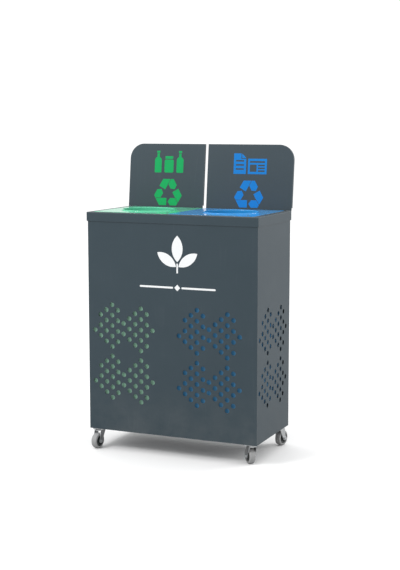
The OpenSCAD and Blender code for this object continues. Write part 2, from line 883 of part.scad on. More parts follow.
module ball_rings() {
    color(zinc)
    at_casters() translate([0, 0, crown_top + ring_gap]) difference() {
        rotate_extrude() {
            translate([ring_inner_r, 0]) square([race_r - 1.5 - ring_inner_r, ring_t]);
            translate([race_r - 1.5, ring_t / 2]) circle(ring_t / 2);
        }
        translate([0, 0, -cut]) cylinder(r = ring_inner_r, h = ring_t + 2 * cut);
    }
}

module swivel_pins() {
    head_r = 8;
    head_t = 2.6;
    color(zinc)
    at_casters() {
        translate([0, 0, crown_under - ring_gap - head_t]) cylinder(r = head_r, h = head_t);
        translate([0, 0, crown_under - ring_gap - head_t / 2])
            cylinder(r = swivel_pin_r, h = caster_h - crown_under + ring_gap + head_t / 2 - 0.3);
    }
}

// The point where the tangent from p touches the circle of radius r about the origin
function touch(p, r, side) =
    let (a = atan2(p[1], p[0]), b = acos(r / norm(p)))
    [r * cos(a + side * b), r * sin(a + side * b)];

// The side view of a fork leg: Y to the right and Z up, with the axle at the origin
module leg_outline() {
    top = crown_top - axle_z;
    front = [trail + crown_r * 0.72, top - 2];
    back = [trail - crown_r * 0.95, top - 2];
    polygon([touch(front, leg_eye_r, -1), front, [front[0], top], [back[0], top], back,
             touch(back, leg_eye_r, 1)]);
    circle(leg_eye_r);
}

// The swivelling fork: a crown that turns on the pin and two legs that hold the axle
module fork(i) {
    color(zinc)
    at_caster(i) rotate([0, 0, CASTER_TURNS[i]]) difference() {
        union() {
            translate([0, 0, crown_under]) intersection() {
                cylinder(r = crown_r + 3, h = fork_t);
                block([-leg_inner - fork_t, -crown_r - 3, 0], [leg_inner + fork_t, crown_r * 0.72, fork_t]);
            }
            for (side = [-1, 1])
                translate([side < 0 ? -leg_inner - fork_t : leg_inner, -trail, axle_z])
                    rotate([90, 0, 90]) linear_extrude(fork_t) leg_outline();
        }
        translate([0, 0, crown_under - cut]) cylinder(r = swivel_pin_r + running_fit, h = fork_t + 2 * cut);
        translate([0, -trail, axle_z]) rod_x(axle_r + rivet_clearance, -plate_w, plate_w);
    }
}

// The axle bolt with its head, and its nut on the other side
module axle(i) {
    outer = leg_inner + fork_t;
    color(zinc)
    at_caster(i) rotate([0, 0, CASTER_TURNS[i]]) translate([0, -trail, axle_z]) {
        rod_x(axle_r, -outer - axle_nut_h / 2, outer + axle_nut_h + 1.5);
        translate([-outer - axle_nut_h, 0, 0]) rotate([0, 90, 0]) cylinder(r = axle_nut_r, h = axle_nut_h, $fn = 6);
        translate([outer, 0, 0]) rotate([0, 90, 0]) difference() {
            cylinder(r = axle_nut_r, h = axle_nut_h, $fn = 6);
            translate([0, 0, -cut]) cylinder(r = axle_r + rivet_clearance, h = axle_nut_h + 2 * cut);
        }
    }
}

// Turns a profile drawn with X as the radius and Y as the axle's direction into a wheel part
module turned(i) {
    at_caster(i) rotate([0, 0, CASTER_TURNS[i]]) translate([0, -trail, axle_z])
        rotate([0, 90, 0]) rotate_extrude($fn = 96) children();
}

module hub(i) {
    bore_r = axle_r + running_fit;
    boss_w = 2 * leg_inner - 0.6;
    color("#5a5f63")
    turned(i) {
        translate([bore_r, -boss_w / 2]) square([hub_boss_r - bore_r, boss_w]);
        translate([bore_r, -hub_web_t / 2]) square([hub_r - hub_rim_t / 2 - bore_r, hub_web_t]);
        translate([hub_r - hub_rim_t, -hub_w / 2]) square([hub_rim_t, hub_w]);
    }
}

module tyre(i) {
    outer = wheel_d / 2;
    color("#8b9093")
    turned(i) {
        translate([hub_r, -tyre_w / 2]) square([outer - tyre_edge_r - hub_r, tyre_w]);
        translate([hub_r, -tyre_w / 2 + tyre_edge_r]) square([outer - hub_r, tyre_w - 2 * tyre_edge_r]);
        for (side = [-1, 1])
            intersection() {
                translate([outer - tyre_edge_r, side * (tyre_w / 2 - tyre_edge_r)]) circle(tyre_edge_r);
                translate([hub_r, -tyre_w / 2]) square([outer - hub_r, tyre_w]);
            }
    }
}

// ---------- graphics ----------

// Puts a flat drawing on the sign's front face as a thin film
module film_on_sign(x, rise) {
    on_sign() translate([x, rise, 0]) linear_extrude(film_t) children();
}

// An equilateral triangle with a flat foot, given the radius of its inner circle
module triangle(inner_r) {
    polygon([for (a = [90, 210, 330]) 2 * inner_r * [cos(a), sin(a)]]);
}

// Three folded arrows that follow one another clockwise round a triangle
module loop_outline() {
    outer_r = 48.5;
    corner_r = 57;
    hole_r = 19;
    band_w = outer_r - hole_r;
    head_l = 12;
    head_w = band_w + 3.6;
    tail_gap = 6;
    fold_w = 1.6;
    fold_turn = -28;
    difference() {
        intersection() {
            triangle(outer_r);
            rotate(180) triangle(corner_r);
        }
        triangle(hole_r);
        for (a = [0, 120, 240]) rotate(a) {
            translate([-tail_gap, -outer_r - cut]) square([head_l + tail_gap, band_w + 2 * cut]);
            translate([0, 2 * hole_r]) rotate(fold_turn) translate([-fold_w / 2, -fold_w]) square([fold_w, corner_r]);
        }
    }
    for (a = [0, 120, 240]) rotate(a) translate([0, -hole_r - band_w / 2])
        polygon([[0, 0], [head_l, head_w / 2], [head_l, -head_w / 2]]);
}

module green_loop() {
    color(film_green) film_on_sign(green_loop_x, loop_rise) loop_outline();
}

module blue_loop() {
    color(film_blue) film_on_sign(blue_loop_x, loop_rise) loop_outline();
}

// A bottle that stands on y = 0
module bottle_outline() {
    translate([-15, 4]) square([30, 44]);
    translate([-11, 0]) square([22, 8]);
    for (x = [-11, 11]) translate([x, 4]) circle(4);
    translate([0, 48]) circle(15);
    translate([-5, 55]) square([10, 22]);
    translate([-7, 79]) square([14, 8]);
}

// A jar with a lid that stands on y = 0
module jar_outline() {
    translate([-20, 6]) square([40, 40]);
    translate([-14, 0]) square([28, 52]);
    for (x = [-14, 14], y = [6, 46]) translate([x, y]) circle(6);
    translate([-17, 55]) square([34, 11]);
}

module glass_pictogram() {
    color(film_green) film_on_sign(green_loop_x, pictogram_rise) {
        translate([-48, 0]) bottle_outline();
        jar_outline();
        translate([48, 0]) bottle_outline();
    }
}

// A sheet of paper with a turned corner and ruled lines, on y = 0
module sheet_outline() {
    fold = 18;
    difference() {
        polygon([[-26, 0], [26, 0], [26, 80 - fold], [26 - fold, 80], [-26, 80]]);
        for (y = [16, 32, 48]) translate([-17, y]) square([34, 6]);
        polygon([[26 - fold - 3, 80 + cut], [26 - fold - 3, 80 - fold - 3], [26 + cut, 80 - fold - 3],
                 [26 + cut, 80 - fold], [26 - fold, 80 - fold], [26 - fold, 80 + cut]]);
    }
}

// A folded newspaper with a picture block and ruled lines, on y = 0
module newspaper_outline() {
    difference() {
        square([78, 60]);
        translate([8, 44]) square([62, 7]);
        translate([8, 9]) square([28, 28]);
        for (y = [9, 20, 31]) translate([42, y]) square([28, 6]);
    }
}

module paper_pictogram() {
    color(film_blue) film_on_sign(blue_loop_x, pictogram_rise) {
        translate([-42, 0]) sheet_outline();
        translate([-8, 0]) newspaper_outline();
    }
}

// A leaf along +Y from the origin: two arcs that meet in points
module leaf_outline(length, width) {
    r = (length * length / 4 + width * width / 4) / width;
    intersection() {
        translate([r - width / 2, length / 2]) circle(r, $fn = 128);
        translate([width / 2 - r, length / 2]) circle(r, $fn = 128);
    }
}

// A sprig of three leaves on a short stem, above a plain bar with a diamond in its middle
module emblem_outline() {
    bar_l = 310;
    bar_h = 7;
    diamond = 17;
    translate([0, emblem_z - bar_z]) {
        translate([0, 42]) leaf_outline(98, 44);
        for (side = [-1, 1])
            translate([side * 5, 24]) rotate(side * -56) leaf_outline(92, 38);
        translate([-3, 0]) square([6, 36]);
    }
    for (side = [-1, 1])
        translate([side * (bar_l / 4 + diamond / 2), 0]) slot_outline(bar_l / 2 - diamond, bar_h);
    rotate(45) square(diamond, center = true);
}

module front_emblem() {
    color("white")
    translate([emblem_x, body_front, base_z + bar_z]) rotate([90, 0, 0]) linear_extrude(film_t) emblem_outline();
}

// ---------- nodes ----------

front_panel();
left_panel();
right_panel();
back_panel();
base_pan();
corner_angles();
divider();
support_rails();
edge_cushions();
green_liner();
blue_liner();
cap();
cap_rims();
green_inlay();
blue_inlay();
green_collar();
blue_collar();
left_sign();
right_sign();
sign_rivets();
green_loop();
blue_loop();
glass_pictogram();
paper_pictogram();
front_emblem();
fixed_hinge_leaves();
moving_hinge_leaves();
hinge_pins();
hinge_packers();
hinge_screws();
hinge_rivets();
backing_plates();
caster_bolts();
caster_nuts();
swivel_pins();
ball_rings();
for (i = [0 : len(CASTERS) - 1]) {
    caster_plate(i);
    fork(i);
    axle(i);
    hub(i);
    tyre(i);
}
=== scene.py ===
"""Looks of the recycling bin station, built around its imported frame.

Sheet-steel pieces keep their CAD shape and get powder coat, film, enamel or zinc. The collars of the waste
openings, the coloured inlays, the tyres and the hubs are surfaces worked out here, from the frame's own boxes
and joints. Lengths are in metres."""

import json
import math

import bpy
import numpy as np
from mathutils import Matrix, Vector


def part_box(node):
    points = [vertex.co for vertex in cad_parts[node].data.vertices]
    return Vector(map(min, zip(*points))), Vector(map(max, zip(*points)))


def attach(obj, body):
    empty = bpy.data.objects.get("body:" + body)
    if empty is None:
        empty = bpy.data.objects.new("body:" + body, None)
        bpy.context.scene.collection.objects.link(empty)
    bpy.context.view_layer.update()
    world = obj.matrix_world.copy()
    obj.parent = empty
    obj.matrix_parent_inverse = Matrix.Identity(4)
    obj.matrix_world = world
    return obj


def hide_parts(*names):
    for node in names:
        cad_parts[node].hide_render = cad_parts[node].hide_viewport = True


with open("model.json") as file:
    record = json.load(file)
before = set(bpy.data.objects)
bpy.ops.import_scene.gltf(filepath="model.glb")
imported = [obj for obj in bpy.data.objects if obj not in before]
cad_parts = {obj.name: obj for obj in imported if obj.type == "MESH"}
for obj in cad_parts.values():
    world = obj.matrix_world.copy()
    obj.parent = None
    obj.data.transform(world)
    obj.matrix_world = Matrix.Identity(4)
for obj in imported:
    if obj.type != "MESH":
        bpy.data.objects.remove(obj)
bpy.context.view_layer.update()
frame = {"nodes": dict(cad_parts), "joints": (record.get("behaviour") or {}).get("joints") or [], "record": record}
NODES = frame["nodes"]
JOINTS = {joint["name"]: joint for joint in frame["joints"]}
SLOTS = {entry["node"]: entry["material_slot"] for entry in frame["record"]["subparts"]}
BODIES = {node: body for body, members in frame["record"]["behaviour"]["bodies"].items() for node in members}
CASTERS = ("front_left", "front_right", "rear_left", "rear_right")
MM = 0.001


# ---------- camera and lamps ----------

CAMERA_AZIMUTH = math.radians(23.57)
CAMERA_TILT = math.radians(7.61)
CAMERA_PLACE = (1.9112, -4.2801, 1.2646)
CAMERA_LENS = 77.43
CAMERA_FILM = 36
CAMERA_REACH = 60
# The world's light level with the horizon and overhead, and the white that the camera sees behind the object
HORIZON_LIGHT = 0.8
ZENITH_LIGHT = 1.32
BACKDROP_SHOWN = 1.1
# Each lamp's name, place, aim, width and power
LAMPS = (
    ("key_lamp", (-1.6, -2.6, 3.0), (0, 0, 0.8), 1.1, 52),
    ("rear_lamp", (3.4, 2.8, 1.7), (0.2, 0, 0.5), 1.6, 52),
)
# Half the floor's width, its white as the camera sees it and as the light meets it
FLOOR_HALF = 12.0
FLOOR_SHOWN = (0.96, 0.96, 0.96, 1)
FLOOR_BOUNCED = (0.55, 0.55, 0.55, 1)
FLOOR_ROUGHNESS = 0.9
FLOOR_GLOSS = 0.1


def make_camera():
    """A long lens from the front right, a little above the cap."""
    data = bpy.data.cameras.new("camera")
    data.lens = CAMERA_LENS
    data.sensor_width = CAMERA_FILM
    data.clip_end = CAMERA_REACH
    camera = bpy.data.objects.new("camera", data)
    camera.location = CAMERA_PLACE
    camera.rotation_euler = (math.pi / 2 - CAMERA_TILT, 0, CAMERA_AZIMUTH)
    bpy.context.scene.collection.objects.link(camera)
    bpy.context.scene.camera = camera


def area_light(name, place, aim, size, power):
    """A soft square white lamp at place, turned towards aim."""
    data = bpy.data.lights.new(name, "AREA")
    data.shape = "SQUARE"
    data.size = size
    data.energy = power
    lamp = bpy.data.objects.new(name, data)
    lamp.location = place
    direction = np.array(aim, float) - np.array(place, float)
    yaw = math.atan2(direction[1], direction[0]) - math.pi / 2
    pitch = math.atan2(direction[2], math.hypot(direction[0], direction[1])) + math.pi / 2
    lamp.rotation_euler = (pitch, 0, yaw)
    bpy.context.scene.collection.objects.link(lamp)


# ---------- node helpers ----------

NUMBER, VECTOR = "NodeSocketFloat", "NodeSocketVector"


def add(tree, kind, values=None, **settings):
    """Adds a node, sets its settings and fills its inputs with numbers, colours or other nodes' outputs."""
    node = tree.nodes.new(kind)
    for key, value in settings.items():
        setattr(node, key, value)
    for key, value in (values or {}).items():
        if isinstance(value, bpy.types.NodeSocket):
            tree.links.new(value, node.inputs[key])
        else:
            node.inputs[key].default_value = value
    return node


def new_material(name):
    """A material with its Principled shader ready: returns material, shader and node tree."""
    material = bpy.data.materials.new(name)
    material.use_nodes = True
    return material, material.node_tree.nodes["Principled BSDF"], material.node_tree


def new_group(name, inputs, outputs):
    """An empty node group with named sockets. Inputs are titles with their defaults, None for a vector; outputs
    are titles with their kinds. Returns its tree, its inputs and its output node."""
    tree = bpy.data.node_groups.new(name, "ShaderNodeTree")
    for title, value in inputs.items():
        socket = tree.interface.new_socket(title, in_out="INPUT", socket_type=VECTOR if value is None else NUMBER)
        if value is not None:
            socket.default_value = value
    for title, kind in outputs.items():
        tree.interface.new_socket(title, in_out="OUTPUT", socket_type=kind)
    return tree, tree.nodes.new("NodeGroupInput").outputs, tree.nodes.new("NodeGroupOutput")


def give(tree, out, **results):
    """Links a group's results to its outputs and returns the finished group."""
    for title, result in results.items():
        tree.links.new(result, out.inputs[title])
    return tree


def use(tree, group, **values):
    """Places a node group; a value's underscores stand for the spaces in a socket's name."""
    node = tree.nodes.new("ShaderNodeGroup")
    node.node_tree = group
    for key, value in values.items():
        socket = node.inputs[key.replace("_", " ")]
        if isinstance(value, bpy.types.NodeSocket):
            tree.links.new(value, socket)
        else:
            socket.default_value = value
    return node.outputs


def blend_colour(tree, mask, low, high):
    """The colour that goes from low to high with the mask; each may be a colour or an output."""
    return add(tree, "ShaderNodeMix", {0: mask, 6: low, 7: high}, data_type="RGBA").outputs[2]


def blend_number(tree, mask, low, high):
    """The number that goes from low to high with the mask; each may be a number or an output."""
    return add(tree, "ShaderNodeMix", {0: mask, 2: low, 3: high}).outputs[0]


def spread(tree, value, low=0.0, high=1.0, start=0.0, stop=1.0):
    """Maps the value's stretch from start to stop onto the one from low to high, and holds it there."""
    return add(tree, "ShaderNodeMapRange", {"Value": value, "From Min": start, "From Max": stop,
                                            "To Min": low, "To Max": high}).outputs[0]


def calculate(tree, operation, first, second):
    """The result of one operation on two values, each a number or an output."""
    return add(tree, "ShaderNodeMath", {0: first, 1: second}, operation=operation).outputs[0]


def noise(tree, place, scale, detail, roughness=0.5):
    return add(tree, "ShaderNodeTexNoise", {"Vector": place, "Scale": scale, "Detail": detail,
                                            "Roughness": roughness}).outputs[0]


def upward(tree, vector):
    """The Z part of a vector."""
    return add(tree, "ShaderNodeSeparateXYZ", {0: vector}).outputs["Z"]


def object_place(tree):
    return add(tree, "ShaderNodeTexCoord").outputs["Object"]


def surface_normal(tree):
    return add(tree, "ShaderNodeNewGeometry").outputs["Normal"]


# ---------- light and floor ----------

def make_light():
    """A white cyclorama that lights mostly from above, a soft key from the upper left and a rear light."""
    world = bpy.data.worlds.new("studio")
    world.use_nodes = True
    tree = world.node_tree
    height = upward(tree, add(tree, "ShaderNodeTexCoord").outputs["Generated"])
    lit = spread(tree, height, HORIZON_LIGHT, ZENITH_LIGHT, -0.1, 0.9)
    seen = add(tree, "ShaderNodeLightPath").outputs["Is Camera Ray"]
    strength = blend_number(tree, seen, lit, BACKDROP_SHOWN)
    tree.nodes["Background"].inputs["Color"].default_value = (1, 1, 1, 1)
    tree.links.new(strength, tree.nodes["Background"].inputs["Strength"])
    bpy.context.scene.world = world
    for lamp in LAMPS:
        area_light(*lamp)
    view = bpy.context.scene.view_settings
    view.view_transform = "Standard"
    view.look = "None"


def make_floor():
    """A pale floor that fills the view below the object; it throws less light back than it shows."""
    far = FLOOR_HALF
    mesh = bpy.data.meshes.new("floor")
    mesh.from_pydata([(-far, -far, 0), (far, -far, 0), (far, far, 0), (-far, far, 0)], [], [(0, 1, 2, 3)])
    floor = bpy.data.objects.new("floor", mesh)
    bpy.context.scene.collection.objects.link(floor)
    material, shader, tree = new_material("studio_floor")
    seen = add(tree, "ShaderNodeLightPath").outputs["Is Camera Ray"]
    tree.links.new(blend_colour(tree, seen, FLOOR_BOUNCED, FLOOR_SHOWN), shader.inputs["Base Color"])
    shader.inputs["Roughness"].default_value = FLOOR_ROUGHNESS
    shader.inputs["Specular IOR Level"].default_value = FLOOR_GLOSS
    mesh.materials.append(material)


# ---------- shared effects ----------

# Scale, detail and roughness of the noises behind slow shifts of tone, patches of dust and zones of scuffs
MOTTLE_NOISE = (5.5, 5.0, 0.62)
DUST_NOISE = (9.0, 6.0, 0.7)
SCUFF_NOISE = (11.0, 3.0)
# How much finer the grain is than the pimples
GRAIN_FINER = 3.1
# Dust near the floor: full at this height, and this strong
DUST_FOOT = 0.05
DUST_LOW = 0.5
# The two ways that scratches lie, in radians, how thin they are drawn out and how wide they show
SCRATCH_TURNS = (0.5, 2.1)
SCRATCH_STRETCH = (1.0, 0.06, 0.06)
SCRATCH_WIDTH = 0.02


def make_peel_group():
    """Orange peel of sprayed paint: soft pimples of one size with a finer grain over them."""
    tree, given, out = new_group(
        "orange_peel", {"Place": None, "Size": 0.002, "Grain": 0.4}, {"Height": NUMBER, "Mottle": NUMBER})
    scale = calculate(tree, "DIVIDE", 1.0, given["Size"])
    pimples = add(tree, "ShaderNodeTexVoronoi", {"Vector": given["Place"], "Scale": scale}, feature="SMOOTH_F1")
    grain = noise(tree, given["Place"], calculate(tree, "MULTIPLY", scale, GRAIN_FINER), 2.0)
    mixed = blend_number(tree, given["Grain"], pimples.outputs["Distance"], grain)
    return give(tree, out, Height=mixed, Mottle=noise(tree, given["Place"], *MOTTLE_NOISE))


def make_dust_group():
    """Dust that settles on what faces up and, in patches, low down near the floor."""
    tree, given, out = new_group("settled_dust", {"Place": None, "Amount": 0.4, "Reach": 0.25}, {"Mask": NUMBER})
    low = spread(tree, upward(tree, given["Place"]), 0.0, DUST_LOW, given["Reach"], DUST_FOOT)
    shelf = spread(tree, upward(tree, surface_normal(tree)), start=0.6)
    patchy = spread(tree, noise(tree, given["Place"], *DUST_NOISE), start=0.35, stop=0.75)
    mask = calculate(tree, "MULTIPLY", calculate(tree, "MAXIMUM", low, shelf), patchy)
    return give(tree, out, Mask=calculate(tree, "MULTIPLY", mask, given["Amount"]))


def make_scuff_group():
    """Short fine scratches that run every way, thicker where a slow noise lets them."""
    tree, given, out = new_group("scuffs", {"Place": None, "Size": 0.01, "Amount": 0.5}, {"Mask": NUMBER})
    scale = calculate(tree, "DIVIDE", 1.0, given["Size"])
    layers = []
    for turn in SCRATCH_TURNS:
        laid = add(tree, "ShaderNodeMapping", {"Vector": given["Place"], "Rotation": (turn, 0.3 * turn, turn),
                                               "Scale": SCRATCH_STRETCH}).outputs[0]
        cells = add(tree, "ShaderNodeTexVoronoi", {"Vector": laid, "Scale": scale}, feature="DISTANCE_TO_EDGE")
        layers.append(spread(tree, cells.outputs["Distance"], 1.0, 0.0, stop=SCRATCH_WIDTH))
    lines = calculate(tree, "MAXIMUM", *layers)
    zone = spread(tree, noise(tree, given["Place"], *SCUFF_NOISE), start=0.5, stop=0.72)
    shown = calculate(tree, "MULTIPLY", lines, zone)
    return give(tree, out, Mask=calculate(tree, "MULTIPLY", shown, given["Amount"]))


def make_edge_group():
    """Rounds the look of sharp edges; the mask is 1 where the rounded normal turns away from the flat one."""
    tree, given, out = new_group("soft_edges", {"Radius": 0.0008}, {"Normal": VECTOR, "Edge": NUMBER})
    rounded = add(tree, "ShaderNodeBevel", {"Radius": given["Radius"]}, samples=4).outputs[0]
    same = add(tree, "ShaderNodeVectorMath", {0: rounded, 1: surface_normal(tree)}, operation="DOT_PRODUCT")
    return give(tree, out, Normal=rounded, Edge=spread(tree, same.outputs["Value"], start=0.97, stop=0.8))


EDGES = make_edge_group()
PEEL = make_peel_group()
DUST = make_dust_group()
SCUFF = make_scuff_group()


# ---------- materials ----------

DUST_TONE = (0.42, 0.4, 0.37, 1)
# Pale tone for the edges: partly paint worn thin, partly a painted highlight along the edges
EDGE_WEAR_AND_HIGHLIGHT_TONE = (0.3, 0.34, 0.36, 1)
PAINT_SCRATCH_TONE = (0.2, 0.22, 0.23, 1)
ZINC_SCRATCH_TONE = (0.3, 0.3, 0.3, 1)
RUBBED_TONE = (0.5, 0.5, 0.49, 1)


def dress(tree, shader, colour, rough, height, strength, depth, normal=None):
    """Links a shader's colour and roughness, and a bump depth millimetres deep on top of the given normal."""
    values = {"Height": height, "Strength": strength, "Distance": depth * MM}
    if normal is not None:
        values["Normal"] = normal
    bump = add(tree, "ShaderNodeBump", values).outputs[0]
    tree.links.new(colour, shader.inputs["Base Color"])
    tree.links.new(rough, shader.inputs["Roughness"])
    tree.links.new(bump, shader.inputs["Normal"])


def powder_coat(name, dark, light, sheen):
    """Satin powder coat: fine orange peel, slow shifts of tone, edges lightened for thinner paint and a painted
    highlight, dust and a few scuffs.
    """
    material, shader, tree = new_material(name)
    place = object_place(tree)
    skin = use(tree, PEEL, Place=place, Size=0.0022, Grain=0.35)
    soft = use(tree, EDGES, Radius=0.0009)
    dust = use(tree, DUST, Place=place, Amount=0.2, Reach=0.3)["Mask"]
    scuff = use(tree, SCUFF, Place=place, Size=0.05, Amount=0.05)["Mask"]
    paint = blend_colour(tree, skin["Mottle"], dark, light)
    # Edges are lightened towards the pale edge tone: partly thinner paint, partly a painted highlight
    worn_and_highlit_paint = blend_colour(tree, calculate(tree, "MULTIPLY", soft["Edge"], 0.5), paint, EDGE_WEAR_AND_HIGHLIGHT_TONE)
    marked = blend_colour(tree, scuff, worn_and_highlit_paint, PAINT_SCRATCH_TONE)
    dusty = blend_colour(tree, dust, marked, DUST_TONE)
    duller = calculate(tree, "ADD", spread(tree, skin["Mottle"], 0.35, 0.46), dust)
    shader.inputs["Specular IOR Level"].default_value = sheen
    dress(tree, shader, dusty, duller, skin["Height"], 0.3, 0.05, soft["Normal"])
    return material


def gloss_enamel(name, dark, light):
    """Gloss enamel: a wet-looking coat with long soft waves, faint dust and hair scratches."""
    material, shader, tree = new_material(name)
    place = object_place(tree)
    skin = use(tree, PEEL, Place=place, Size=0.007, Grain=0.1)
    dust = use(tree, DUST, Place=place, Amount=0.08, Reach=0.1)["Mask"]
    scuff = use(tree, SCUFF, Place=place, Size=0.04, Amount=0.25)["Mask"]
    paint = blend_colour(tree, skin["Mottle"], dark, light)
    dusty = blend_colour(tree, dust, paint, DUST_TONE)
    duller = calculate(tree, "ADD", spread(tree, scuff, 0.1, 0.4), dust)
    dress(tree, shader, dusty, duller, skin["Height"], 0.12, 0.04)
    return material


def zinc_plate(name, dark, light):
    """Bright zinc: cloudy passivation, rolling lines and small dull spots."""
    material, shader, tree = new_material(name)
    place = object_place(tree)
    skin = use(tree, PEEL, Place=place, Size=0.0012, Grain=0.6)
    lines = add(tree, "ShaderNodeMapping", {"Vector": place, "Scale": (1.0, 1.0, 0.05)}).outputs[0]
    rolled = noise(tree, lines, 900.0, 3.0)
    clouds = noise(tree, place, 60.0, 5.0)
    scuff = use(tree, SCUFF, Place=place, Size=0.02, Amount=0.5)["Mask"]
    worn = blend_colour(tree, scuff, blend_colour(tree, clouds, dark, light), ZINC_SCRATCH_TONE)
    mixed = blend_number(tree, 0.5, skin["Height"], rolled)
    soft = use(tree, EDGES, Radius=0.0005)
    shader.inputs["Metallic"].default_value = 1.0
    dress(tree, shader, worn, spread(tree, rolled, 0.2, 0.42), mixed, 0.3, 0.02, soft["Normal"])
    return material


def moulded(name, dark, light, roughness):
    """Moulded rubber or plastic: fine grain, slow shifts of tone and dust."""
    material, shader, tree = new_material(name)
    place = object_place(tree)
    skin = use(tree, PEEL, Place=place, Size=0.0008, Grain=0.6)
    dust = use(tree, DUST, Place=place, Amount=0.5, Reach=0.12)["Mask"]
    scuff = use(tree, SCUFF, Place=place, Size=0.02, Amount=0.35)["Mask"]
    body = blend_colour(tree, skin["Mottle"], dark, light)
    marked = blend_colour(tree, scuff, body, RUBBED_TONE)
    dusty = blend_colour(tree, dust, marked, DUST_TONE)
    rough = spread(tree, skin["Height"], roughness - 0.08, roughness + 0.08)
    dress(tree, shader, dusty, rough, skin["Height"], 0.5, 0.06)
    return material


def printed_film(name, dark, light):
    """Self-adhesive film: even print, a soft sheen and the faint texture of the paint below."""
    material, shader, tree = new_material(name)
    place = object_place(tree)
    skin = use(tree, PEEL, Place=place, Size=0.003, Grain=0.3)
    scuff = use(tree, SCUFF, Place=place, Size=0.03, Amount=0.2)["Mask"]
    ink = blend_colour(tree, skin["Mottle"], dark, light)
    shader.inputs["Specular IOR Level"].default_value = 0.15
    dress(tree, shader, ink, spread(tree, scuff, 0.32, 0.6), skin["Height"], 0.2, 0.03)
    return material


# Each slot's finish, material name, darkest and lightest tone, and the sheen or roughness that some finishes take
PAINTS = {
    "grey_powder_coat": (powder_coat, "grey_powder_coat", (0.027, 0.046, 0.058), (0.034, 0.054, 0.068), 0.36),
    "green_inlay_paint": (gloss_enamel, "green_enamel", (0.1, 0.58, 0.34), (0.12, 0.64, 0.38)),
    "blue_inlay_paint": (gloss_enamel, "blue_enamel", (0.03, 0.28, 0.66), (0.036, 0.32, 0.74)),
    "green_liner_paint": (powder_coat, "green_powder_coat", (0.32, 0.6, 0.44), (0.36, 0.65, 0.48), 0.2),
    "blue_liner_paint": (powder_coat, "blue_powder_coat", (0.055, 0.23, 0.45), (0.065, 0.26, 0.5), 0.2),
    "green_film": (printed_film, "green_film", (0.006, 0.34, 0.095), (0.008, 0.38, 0.11)),
    "blue_film": (printed_film, "blue_film", (0.006, 0.18, 0.54), (0.008, 0.21, 0.6)),
    "white_film": (printed_film, "white_film", (0.8, 0.82, 0.83), (0.86, 0.87, 0.88)),
    "zinc_plating": (zinc_plate, "zinc_plating", (0.46, 0.48, 0.49), (0.78, 0.79, 0.8)),
    "wheel_hub": (moulded, "hub_plastic", (0.022, 0.03, 0.032), (0.034, 0.044, 0.047), 0.4),
    "tyre_rubber": (moulded, "tyre_rubber", (0.27, 0.275, 0.28), (0.35, 0.355, 0.36), 0.6),
    "cushion_rubber": (moulded, "cushion_rubber", (0.012, 0.012, 0.013), (0.02, 0.02, 0.021), 0.75),
}
MATERIALS = {slot: finish(name, dark + (1,), light + (1,), *rest)
             for slot, (finish, name, dark, light, *rest) in PAINTS.items()}


def paint_nodes():
    """Gives every CAD node the material of its slot."""
    for name, slot in SLOTS.items():
        node = NODES[name]
        node.data.materials.clear()
        node.data.materials.append(MATERIALS[slot])


# ---------- new pieces ----------

# The collar: its sheet, how far the roll stands off the inlay, and the weld at the back
COLLAR_WALL = 1.5 * MM
ROLL_LIFT = 0.1 * MM
SEAM_DEPTH = 0.3 * MM
SEAM_PLACE = math.radians(95)
SEAM_WIDTH = math.radians(1.1)
COLLAR_ROUND = 256
# The inlay: how far the roll covers it, its corners and edges, and how far it dishes and ripples
ROLL_COVER = 4.2 * MM
INLAY_CORNER = 2.0 * MM
INLAY_EDGE = 0.35 * MM
DISH_DEPTH = 0.3 * MM
RIPPLE_DEPTH = 0.05 * MM
SIDE_POINTS, CORNER_POINTS, TOP_POINTS, BOTTOM_POINTS = 61, 5, 25, 6
# The inlay's rounded edge: shares of its radius that it stands out and of its thickness that it rises
EDGE_OUT = (0.7, 1, 1, 1, 0.7)
EDGE_RISE = (0.92, 0.7, 0.5, 0.3, 0.08)
# The tyre: half its width, its depth, the shoulder, the crown, the mould line and the groove in each sidewall
TYRE_HALF = 11.5 * MM
TYRE_DEPTH = 8 * MM
SHOULDER = 4.2 * MM
CROWN = 0.25 * MM
MOULD_LINE, MOULD_LINE_WIDTH = 0.12 * MM, 0.3 * MM
GROOVE_DEPTH, GROOVE_PLACE, GROOVE_WIDTH = 0.5 * MM, 0.45, 0.2
WALL_DROP = 0.4 * MM
BEAD_INSET = 0.6 * MM
TYRE_ROUND = 120
# The hub: radii from the axle outwards, half widths, ribs and the fillets at the web's two ends
HUB_BORE, BOSS_RADIUS, RIM_INNER, RIM_OUTER = 4.1 * MM, 8.0 * MM, 18.0 * MM, 22.0 * MM
BOSS_HALF, RIM_HALF, WEB_HALF = 13.0 * MM, 10.0 * MM, 3.0 * MM
RIBS, RIB_SHARPNESS, RIB_RISE = 6, 14, 3.6 * MM
FILLET, FILLET_REACH = 2.2 * MM, 0.09
FINE_BEVEL, BEVEL, RIM_BEVEL = 0.5 * MM, 0.6 * MM, 0.7 * MM
HUB_ROUND = 180
# Angles in degrees above which an edge of each piece is drawn sharp
SHEET_CREASE, TYRE_CREASE, HUB_CREASE = 50, 60, 40


